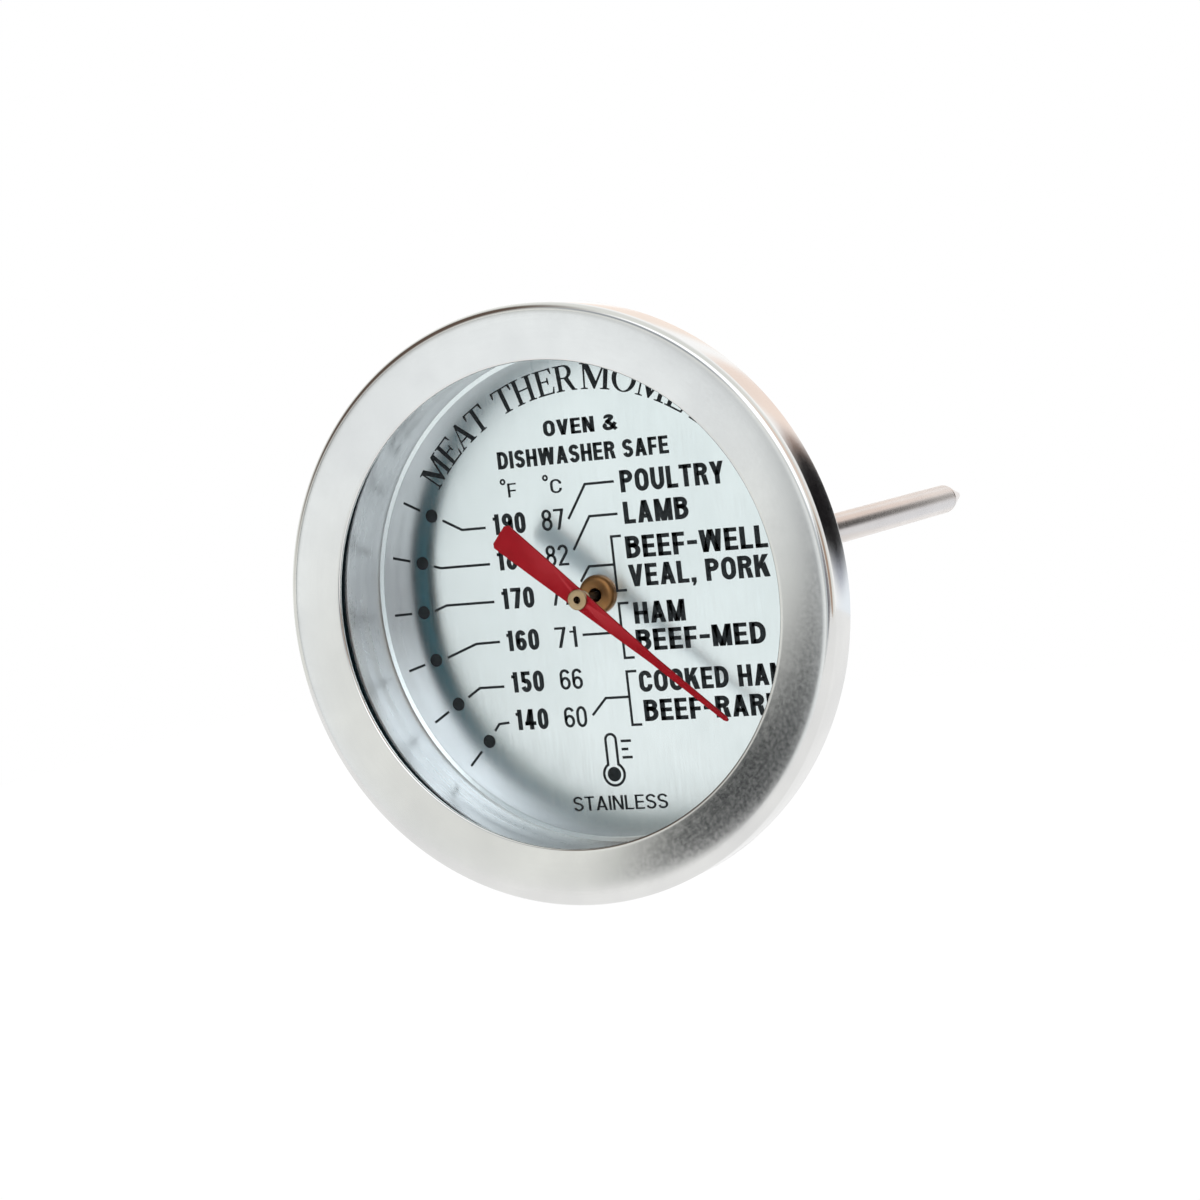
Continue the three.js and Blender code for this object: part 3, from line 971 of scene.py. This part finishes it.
def ink_piece(name, meshes):
    """Joins flat meshes into one printed piece on the dial's face."""
    bm = bmesh.new()
    for mesh in meshes:
        bm.from_mesh(mesh)
        bpy.data.meshes.remove(mesh)
    bm.transform(Matrix.Translation((0, DIAL_FRONT - INK_LIFT, 0)) @ FACE_FRONT @ Matrix.Scale(MM, 4))
    return add_piece(finish_mesh(name, bm), "housing", ink, "dial_ink")


def title_letters():
    """Roman capitals: each letter's advance and its closed loops, in units of the cap height."""
    stem_left = [(0.02, 0.04), (0.13, 0.06), (0.13, 0.94), (0.02, 0.96), (0.02, 1)]
    bowl = ellipse_arc(0.50, 0.735, 0.29, 0.265, 90, -62)
    counter = ellipse_arc(0.46, 0.735, 0.16, 0.205, 90, -90)
    return {
        "E": (0.88, [
            [(0.02, 0)] + stem_left + [
                (0.78, 1), (0.80, 0.76), (0.76, 0.76), (0.69, 0.94), (0.30, 0.94), (0.30, 0.55),
                (0.54, 0.55), (0.58, 0.66), (0.62, 0.66), (0.62, 0.38), (0.58, 0.38), (0.54, 0.49),
                (0.30, 0.49), (0.30, 0.06), (0.72, 0.06), (0.80, 0.26), (0.84, 0.26), (0.80, 0)],
        ]),
        "T": (0.92, [[
            (0.26, 0), (0.26, 0.04), (0.37, 0.06), (0.37, 0.94), (0.11, 0.94), (0.05, 0.74), (0, 0.74),
            (0.01, 1), (0.91, 1), (0.92, 0.74), (0.87, 0.74), (0.81, 0.94), (0.55, 0.94), (0.55, 0.06),
            (0.66, 0.04), (0.66, 0),
        ]]),
        "H": (1.06, [
            [(0.02, 0)] + stem_left + [
                (0.41, 1), (0.41, 0.96), (0.30, 0.94), (0.30, 0.55), (0.72, 0.55), (0.72, 0.94),
                (0.61, 0.96), (0.61, 1), (1, 1), (1, 0.96), (0.89, 0.94), (0.89, 0.06), (1, 0.04),
                (1, 0), (0.61, 0), (0.61, 0.04), (0.72, 0.06), (0.72, 0.49), (0.30, 0.49),
                (0.30, 0.06), (0.41, 0.04), (0.41, 0)],
        ]),
        "A": (1.0, [
            [(0, 0), (0, 0.04), (0.10, 0.06), (0.45, 1), (0.55, 1), (0.90, 0.06), (1, 0.04), (1, 0),
             (0.57, 0), (0.57, 0.04), (0.68, 0.06), (0.61, 0.27), (0.25, 0.27), (0.17, 0.06),
             (0.29, 0.04), (0.29, 0)],
            [(0.275, 0.33), (0.59, 0.33), (0.43, 0.79)],
        ]),
        "M": (1.26, [[
            (0, 0), (0, 0.04), (0.12, 0.06), (0.12, 0.94), (0.01, 0.96), (0.01, 1), (0.33, 1),
            (0.64, 0.30), (0.92, 1), (1.22, 1), (1.22, 0.96), (1.11, 0.94), (1.11, 0.06), (1.22, 0.04),
            (1.22, 0), (0.82, 0), (0.82, 0.04), (0.94, 0.06), (0.94, 0.83), (0.60, 0), (0.55, 0),
            (0.19, 0.80), (0.19, 0.06), (0.30, 0.04), (0.30, 0),
        ]]),
        "R": (0.98, [
            [(0.02, 0)] + stem_left + bowl + [
                (0.90, 0.06), (1, 0.04), (1, 0), (0.76, 0), (0.44, 0.47), (0.30, 0.47), (0.30, 0.06),
                (0.41, 0.04), (0.41, 0)],
            [(0.30, 0.53), (0.30, 0.94)] + counter,
        ]),
        "O": (1.04, [
            ellipse_arc(0.51, 0.5, 0.49, 0.52, 0, 351, 39),
            ellipse_arc(0.51, 0.5, 0.31, 0.465, 0, 351, 39),
        ]),
    }


def add_title():
    """MEAT THERMOMETER, set along an arc round the top of the dial."""
    letters = title_letters()
    radius, height = 20.9, 2.65
    groups = (("MEAT", 144.6, 118.6), ("THER", 114.8, 89.3), ("MOMETER", 88.1, 36.0))
    meshes = []
    for word, start, end in groups:
        advance = sum(letters[letter][0] for letter in word)
        degrees = (start - end) / advance
        place = 0.0
        for letter in word:
            width, loops = letters[letter]
            bent = []
            for loop in loops:
                points = []
                for x, y in loop:
                    angle = math.radians(start - (place + x) * degrees)
                    reach = radius + y * height
                    points.append((reach * math.cos(angle), reach * math.sin(angle)))
                bent.append(points)
            meshes.append(shape_mesh(bent))
            place += width
    ink_piece("dial_title", meshes)


def add_scale():
    """Dots and ticks from 190 to 140 F, the leaders to the figures, and the meats' brackets, in mm."""
    meshes = []
    line = 0.26
    directions = (152.7, 167.1, 181.6, 196.0, 210.5, 224.9)
    dot_place, dot = 20.64, 0.7
    tick_start, tick_end = 22.1, 24.2
    bracket, bracket_end = 2.2, 3.3
    for degrees in directions:
        cos, sin = math.cos(math.radians(degrees)), math.sin(math.radians(degrees))
        meshes.append(shape_mesh([circle(dot_place * cos, dot_place * sin, dot)]))
        ends = [(tick_start * cos, tick_start * sin), (tick_end * cos, tick_end * sin)]
        meshes.append(shape_mesh([ribbon(ends, line)]))
    leaders = [
        [(-17.1, 8.9), (-14.9, 7.75), (-12.1, 7.75)],
        [(-18.8, 4.2), (-18, 3.95), (-12.1, 3.95)],
        [(-19.3, -0.5), (-17.8, 0), (-12.1, 0)],
        [(-18.4, -5.5), (-14.8, -4.25), (-12, -4.2)],
        [(-16.5, -9.8), (-15, -8.9), (-12.1, -8.9)],
        [(-13.8, -13.5), (-13.2, -12.8), (-12, -12.7)],
        [(-2.4, 7.9), (-0.1, 11.3), (3.2, 11.3)],
        [(-2.2, 4.7), (0, 8), (3.2, 8)],
    ]
    for points in leaders:
        meshes.append(shape_mesh([ribbon(points, line)]))
    brackets = [
        (5.75, 0.2, [(-1.8, 1.4), (-0.7, 2.9)]),
        (-1.1, -6.7, [(-2.3, -4.05)]),
        (-8.1, -13.6, [(-2.2, -12.4), (-0.5, -10.7)]),
    ]
    for top, bottom, tail in brackets:
        points = [(bracket_end, top), (bracket, top), (bracket, bottom), (bracket_end, bottom)]
        meshes.append(shape_mesh([ribbon(points, line)]))
        tail_end = (bracket - line / 2 - 0.01, tail[-1][1])
        meshes.append(shape_mesh([ribbon(tail + [tail_end], line)]))
    ink_piece("dial_scale", meshes)


def add_figures():
    """Degrees Fahrenheit in bold, degrees Celsius in light figures, and the two units."""
    rows = [
        (190, 87, 6.9), (180, 82, 3.2), (170, 77, -0.85),
        (160, 71, -5.25), (150, 66, -9.6), (140, 60, -13.55),
    ]
    height = 2.15
    bold_column, light_column = (-11.3, -7.4), (-5.5, -2.9)
    unit_baseline, unit_height = 10.65, 1.45
    sign_y, sign_outer, sign_inner = 12.3, 0.33, 0.13
    meshes = []
    for fahrenheit, celsius, baseline in rows:
        meshes += text_line(str(fahrenheit), *bold_column, baseline, height, BOLD)
        meshes += text_line(str(celsius), *light_column, baseline, height, LIGHT)
    for letter, left, right in (("F", -9.0, -8.0), ("C", -4.05, -2.75)):
        meshes += text_line(letter, left, right, unit_baseline, unit_height, LIGHT)
        sign = [circle(left - 0.5, sign_y, radius, 24) for radius in (sign_outer, sign_inner)]
        meshes.append(shape_mesh(sign))
    ink_piece("dial_figures", meshes)


def add_words():
    """The meats and the generic notes: each line's words, left, right, baseline and cap height in mm."""
    lines = [
        ("OVEN &", -4.1, 4.2, 16.5, 1.6),
        ("DISHWASHER SAFE", -9.8, 9.7, 13.6, 1.8),
        ("POULTRY", 3.9, 15.4, 10.1, 2.25),
        ("LAMB", 3.9, 11.1, 6.9, 2.25),
        ("BEEF–WELL", 3.7, 19.3, 3.4, 2.25),
        ("VEAL, PORK", 3.7, 19.2, 0.5, 2.25),
        ("HAM", 3.8, 9.5, -3.3, 2.2),
        ("BEEF–MED", 3.7, 18.0, -6.1, 2.2),
        ("COOKED HAM", 3.5, 19.9, -10.3, 2.2),
        ("BEEF–RARE", 3.7, 18.7, -13.3, 2.2),
    ]
    meshes = text_line("STAINLESS", -5.6, 5.2, -22.3, 1.5, LIGHT)
    for line in lines:
        meshes += text_line(*line, BOLD)
    ink_piece("dial_words", meshes)


def add_pictogram():
    """A plain thermometer sign: a tube with a filled bulb and three ticks."""
    x, bulb_y, top_y = -0.5, -18.6, -14.3
    bulb, tube, wall = 1.3, 0.72, 0.27
    half_gap = math.degrees(math.asin(tube / bulb))
    outer = ellipse_arc(x, bulb_y, bulb, bulb, 90 + half_gap, 450 - half_gap, 32)
    outer += ellipse_arc(x, top_y - tube, tube, tube, 0, 180, 14)
    thin = tube - wall
    inner_gap = math.degrees(math.asin(thin / (bulb - wall)))
    inner = ellipse_arc(x, bulb_y, bulb - wall, bulb - wall, 90 + inner_gap, 450 - inner_gap, 32)
    inner += ellipse_arc(x, top_y - tube, thin, thin, 0, 180, 14)
    meshes = [shape_mesh([outer, inner]), shape_mesh([circle(x, bulb_y, bulb - 2 * wall)])]
    first_tick, tick_pitch = 0.9, 0.85
    tick_start, tick_end, shorter = 1.15, 2.3, 0.4
    for i in range(3):
        y = top_y - first_tick - tick_pitch * i
        ends = [(x + tick_start, y), (x + tick_end - shorter * (i % 2), y)]
        meshes.append(shape_mesh([ribbon(ends, wall)]))
    ink_piece("dial_pictogram", meshes)


# ---------------------------------------------------------------- studio

def add_camera():
    camera = bpy.data.objects.new("camera", bpy.data.cameras.new("camera"))
    camera.data.lens = CAMERA_LENS_MM
    camera.data.sensor_width = CAMERA_SENSOR_MM
    camera.data.clip_start = 1 * MM
    forward = Vector((
        -math.sin(CAMERA_AZIMUTH) * math.cos(CAMERA_ELEVATION),
        math.cos(CAMERA_AZIMUTH) * math.cos(CAMERA_ELEVATION),
        -math.sin(CAMERA_ELEVATION),
    ))
    turn = forward.to_track_quat("-Z", "Y").to_matrix() @ Matrix.Rotation(-CAMERA_ROLL, 3, "Z")
    camera.matrix_world = Matrix.Translation(CAMERA_AIM - forward * CAMERA_DISTANCE) @ turn.to_4x4()
    bpy.context.collection.objects.link(camera)
    bpy.context.scene.camera = camera


def add_floor():
    """A pale floor just under the case, so bright that it shows no shadow."""
    half_size = 150 * MM
    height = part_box("bezel_ring")[0].z - 0.5 * MM
    bm = bmesh.new()
    bmesh.ops.create_grid(bm, x_segments=8, y_segments=8, size=half_size)
    bm.transform(Matrix.Translation((0, 0, height)))
    floor = finish_mesh("pale_floor", bm)
    material, tree, shader = new_material("pale_floor", Base_Color=(0.02, 0.02, 0.02), Roughness=1.0)
    shader.inputs["Specular IOR Level"].default_value = 0
    patches = noise(tree, object_place(tree), 3.0)
    paper = mix_colour(tree, patches, (0.99, 0.99, 0.99), (1, 1, 1))
    tree.links.new(paper, shader.inputs["Emission Color"])
    shader.inputs["Emission Strength"].default_value = 1.0
    floor.data.materials.append(material)


STUDIO_WHITE = (0.935, 0.945, 0.91)

# Areas of the studio that metal sees: middle's direction, radius and soft edge in degrees, and colour.
STUDIO_AREAS = (
    ((0.0, 1.0, 0.0), 45, 40, (1.22, 1.22, 1.22)),
    ((0.22, 0.93, -0.28), 10, 10, (1.02, 1.08, 1.15)),
    ((0.08, -0.99, -0.05), 10, 12, (0.62, 0.66, 0.69)),
    ((-0.45, -0.87, -0.22), 6, 9, (1.05, 1.09, 1.11)),
    ((0.20, -0.85, 0.48), 18, 14, (1.7, 1.72, 1.76)),
    ((0.43, -0.84, -0.34), 16, 10, (0.10, 0.10, 0.115)),
    ((0.10, 0.92, 0.38), 5, 6, (1.10, 0.92, 0.82)),
    ((-0.29, 0.905, 0.315), 5, 6, (1.10, 0.95, 0.85)),
    ((0.30, 0.92, 0.23), 4, 6, (0.62, 0.45, 0.38)),
    ((0.385, 0.92, -0.02), 3, 4, (0.62, 0.65, 0.74)),
    ((0.355, 0.925, 0.140), 7, 7, (0.006, 0.005, 0.006)),
    ((0.56, 0.81, 0.175), 5, 8, (0.006, 0.005, 0.006)),
    ((-0.72, -0.45, 0.53), 18, 20, (0.14, 0.10, 0.08)),
    ((-0.536, -0.843, -0.023), 2.1, 4.1, (0.008, 0.012, 0.016)),
    ((0.52, -0.85, -0.09), 7, 10, (0.32, 0.30, 0.32)),
    ((-0.22, -0.90, 0.38), 8, 8, (0.42, 0.45, 0.48)),
    ((0.93, -0.36, 0.0), 11, 12, (0.50, 0.36, 0.28)),
    ((0.78, -0.33, 0.53), 9, 14, (0.95, 0.77, 0.68)),
)


def add_studio():
    """A white studio, in which the metal sees a few brighter, darker and warmer areas."""
    world = bpy.data.worlds.new("studio")
    bpy.context.scene.world = world
    world.use_nodes = True
    tree = world.node_tree
    tree.nodes.clear()
    direction = add_node(tree, "ShaderNodeTexCoord").outputs["Generated"]
    colour = STUDIO_WHITE
    for middle, size, softness, tone in STUDIO_AREAS:
        inputs = {0: direction, 1: tuple(Vector(middle).normalized())}
        closeness = add_node(tree, "ShaderNodeVectorMath", inputs, operation="DOT_PRODUCT")
        angle = math_node(tree, "ARCCOSINE", closeness.outputs["Value"])
        inner, outer = math.radians(size), math.radians(size + softness)
        inputs = {"Value": angle, "From Min": inner, "From Max": outer, "To Min": 1.0, "To Max": 0.0}
        inside = add_node(tree, "ShaderNodeMapRange", inputs, interpolation_type="SMOOTHSTEP")
        colour = mix_colour(tree, inside.outputs["Result"], colour, tone)
    seen = add_node(tree, "ShaderNodeLightPath").outputs["Is Camera Ray"]
    colour = mix_colour(tree, seen, colour, (1, 1, 1))
    background = add_node(tree, "ShaderNodeBackground", {"Color": colour, "Strength": 1.0})
    output = add_node(tree, "ShaderNodeOutputWorld")
    tree.links.new(background.outputs[0], output.inputs["Surface"])


bpy.context.scene.view_settings.view_transform = "Standard"
add_camera()
add_floor()
add_studio()
add_bezel()
add_glass_and_seal()
add_case()
add_dial()
add_collar()
add_nut()
add_tube_and_point()
add_guides()
add_helix()
add_blade()
add_pointer_pieces()
add_title()
add_scale()
add_figures()
add_words()
add_pictogram()
